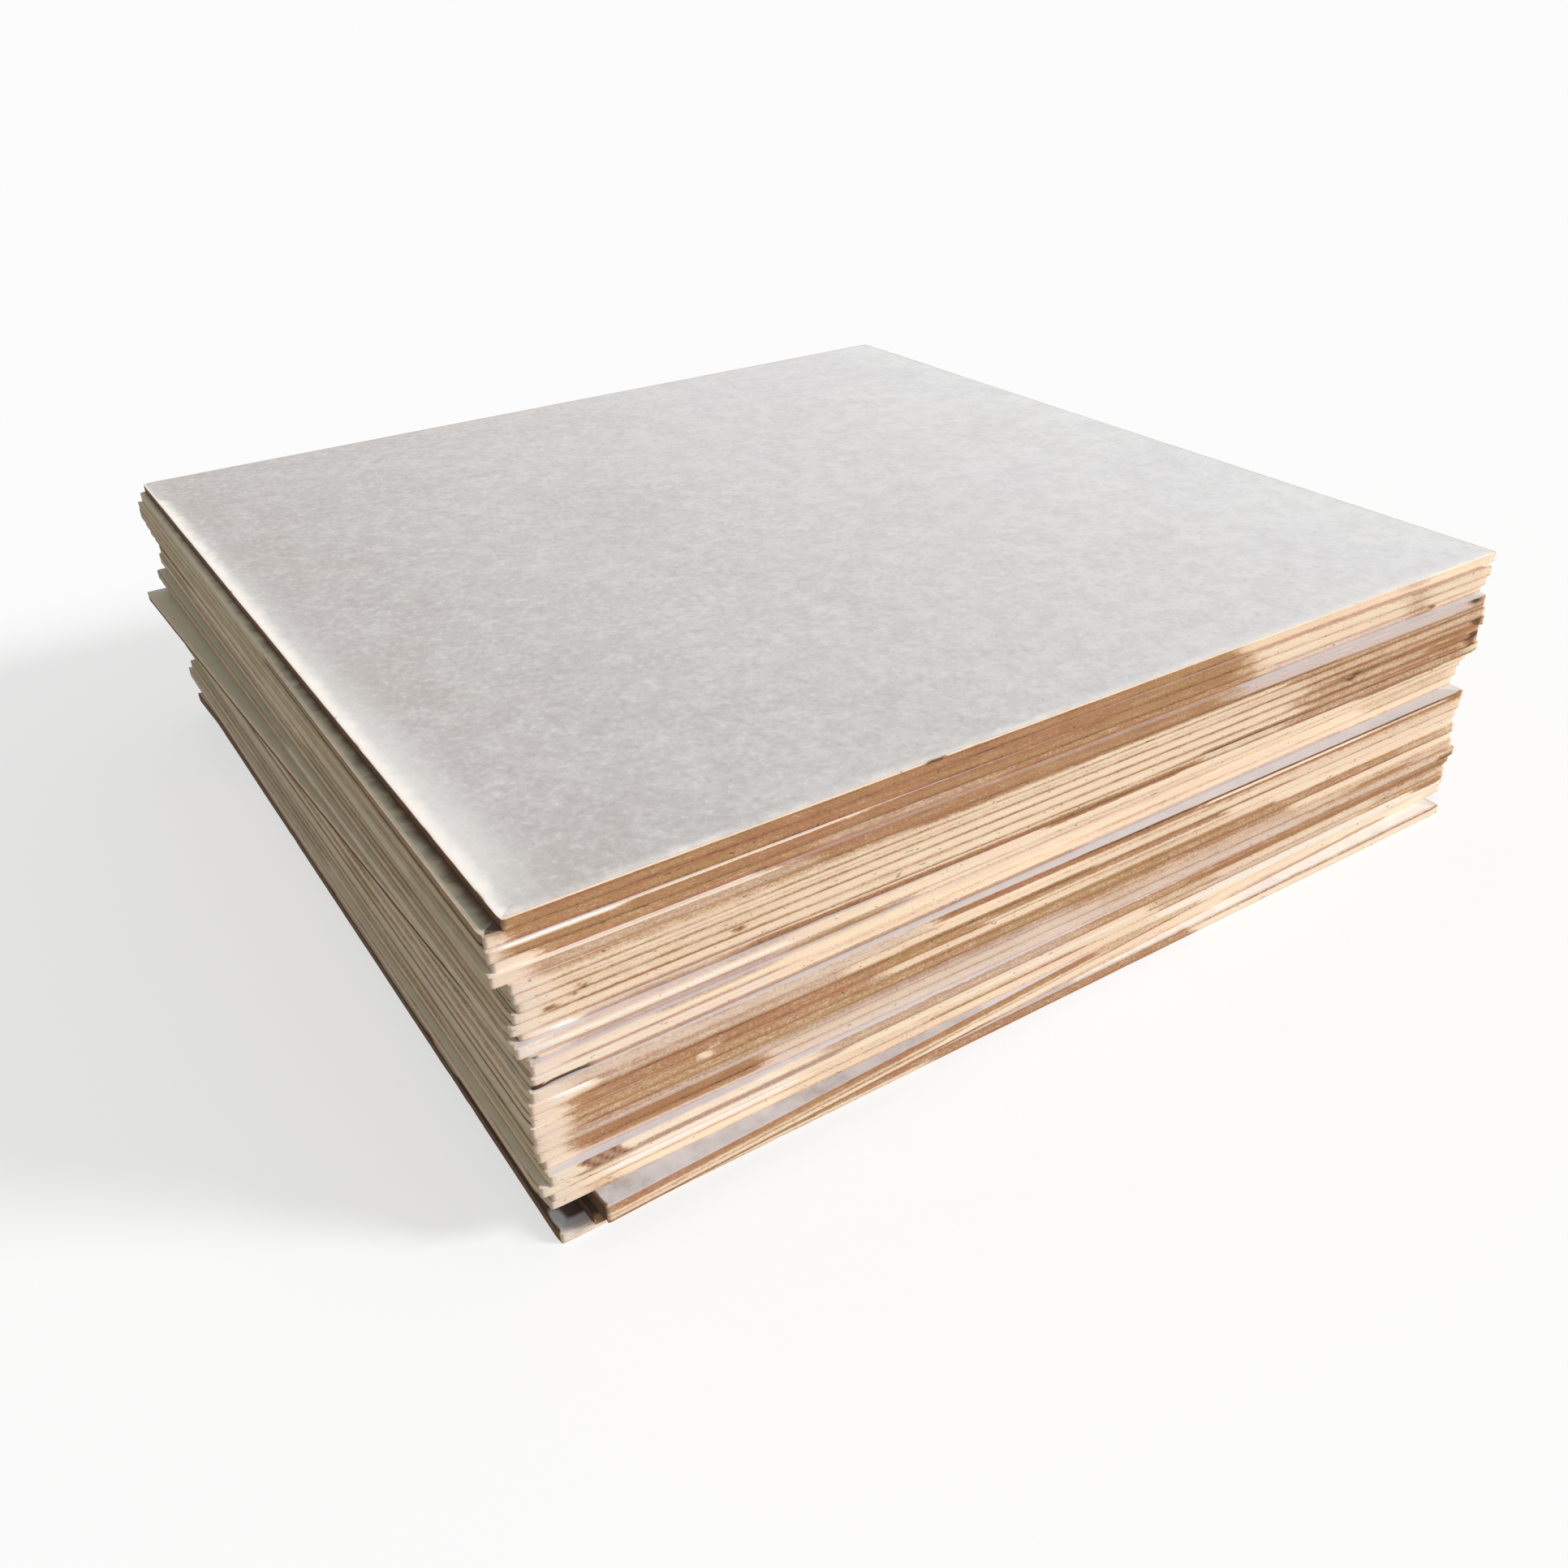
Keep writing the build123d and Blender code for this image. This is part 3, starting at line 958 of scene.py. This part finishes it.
seen = seen_rays(studio)
floor_colour = seen.tint(paint(FLOOR_BOUNCE), paint(FLOOR_SEEN))
matt = studio.add("BsdfDiffuse", {}, {"Color": floor_colour})
glow = studio.add("Emission", {}, {"Color": WHITE, "Strength": 1.0})
mixed = studio.add("MixShader", {}, {0: seen * (1.0 - SHADOW_KEPT), 1: matt, 2: glow})
studio.add("OutputMaterial", {}, {"Surface": mixed})
floor_mesh.materials.append(pale_floor)

world = bpy.data.worlds.new("studio")
world.use_nodes = True
world.node_tree.nodes.clear()
dome = Strand(world.node_tree)
sky_light = seen_rays(dome) * (1.0 - DOME) + DOME
sky = dome.add("Background", {}, {"Color": WHITE, "Strength": sky_light})
dome.add("OutputWorld", {}, {"Surface": sky})
bpy.context.scene.world = world

lamp_data = bpy.data.lights.new("lamp", "SUN")
lamp_data.energy = LAMP
lamp_data.angle = math.radians(LAMP_SOFTNESS)
lamp = bpy.data.objects.new("lamp", lamp_data)
turn = math.radians(LAMP_TURN)
height = math.radians(LAMP_HEIGHT)
to_lamp = Vector((math.sin(turn) * math.cos(height), -math.cos(turn) * math.cos(height), math.sin(height)))
lamp.rotation_euler = to_lamp.to_track_quat("Z", "Y").to_euler()
bpy.context.scene.collection.objects.link(lamp)

# The camera stands at the front left, a little above the pile, and looks down on its near corner.
# It is turned and tilted in degrees, and rolled a little about its own axis.
CAMERA_PLACE = Vector((-222.5, -359.1, 242.7)) * MM
CAMERA_HEADING = 32.31
CAMERA_DOWN = 30.98
CAMERA_ROLL = -1.65
LENS = 32.37
SENSOR = 36.0
NEAREST = 10.0 * MM

camera_data = bpy.data.cameras.new("camera")
camera_data.lens = LENS
camera_data.sensor_width = SENSOR
camera_data.clip_start = NEAREST
camera = bpy.data.objects.new("camera", camera_data)
aim = Matrix.Rotation(math.radians(-CAMERA_HEADING), 4, "Z")
aim = aim @ Matrix.Rotation(math.radians(90.0 - CAMERA_DOWN), 4, "X")
aim = aim @ Matrix.Rotation(math.radians(CAMERA_ROLL), 4, "Z")
camera.matrix_world = Matrix.Translation(CAMERA_PLACE) @ aim
bpy.context.scene.collection.objects.link(camera)
bpy.context.scene.camera = camera
bpy.context.scene.view_settings.view_transform = "Standard"

bpy.context.view_layer.update()
